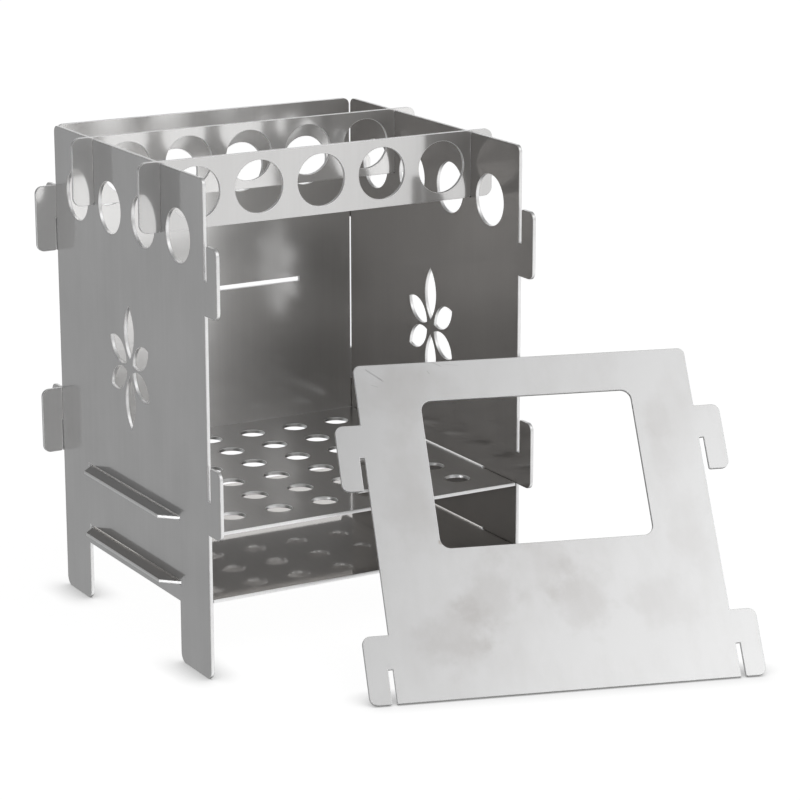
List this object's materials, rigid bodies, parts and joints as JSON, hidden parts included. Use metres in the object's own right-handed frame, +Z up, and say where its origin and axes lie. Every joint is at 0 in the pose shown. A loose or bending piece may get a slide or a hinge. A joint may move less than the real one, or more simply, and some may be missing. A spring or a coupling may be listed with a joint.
{
  "type": "pocket stove",
  "caption": "Flat-pack box stove of slotted stainless sheets with a fire grate, ash plate, pot bars and a front panel leaning in front.",
  "frame": {"origin": "on the ground, under the middle of everything: the box and the front panel that leans in front of it", "axes": "+Z up, +Y from the open front to the back panel, +X to the right as seen from the open front"},
  "size_m": [0.1559, 0.1789, 0.1415],
  "materials": {
    "stainless_sheet": "cold-rolled, half mirror, with bright cut edges"
  },
  "bodies": {
    "box": {"left_panel": "stainless_sheet", "right_panel": "stainless_sheet", "fire_grate": "stainless_sheet", "ash_plate": "stainless_sheet"},
    "back": {"back_panel": "stainless_sheet"},
    "front": {"front_panel": "stainless_sheet"},
    "front_bar": {"front_pot_bar": "stainless_sheet"},
    "rear_bar": {"rear_pot_bar": "stainless_sheet"}
  },
  "joints": [
    {"name": "front_bar_lift", "type": "slide", "parent": "box", "child": "front_bar", "axis": [0, 0, 1], "range_m": [0, 0.03]},
    {"name": "rear_bar_lift", "type": "slide", "parent": "box", "child": "rear_bar", "axis": [0, 0, 1], "range_m": [0, 0.03]},
    {"name": "back_panel_lift", "type": "slide", "parent": "box", "child": "back", "axis": [0, 0, 1], "range_m": [0, 0.04]},
    {"name": "front_panel_away", "type": "slide", "parent": "box", "child": "front", "axis": [-0.3007, -0.9537, 0], "range_m": [0, 0.12]}
  ]
}
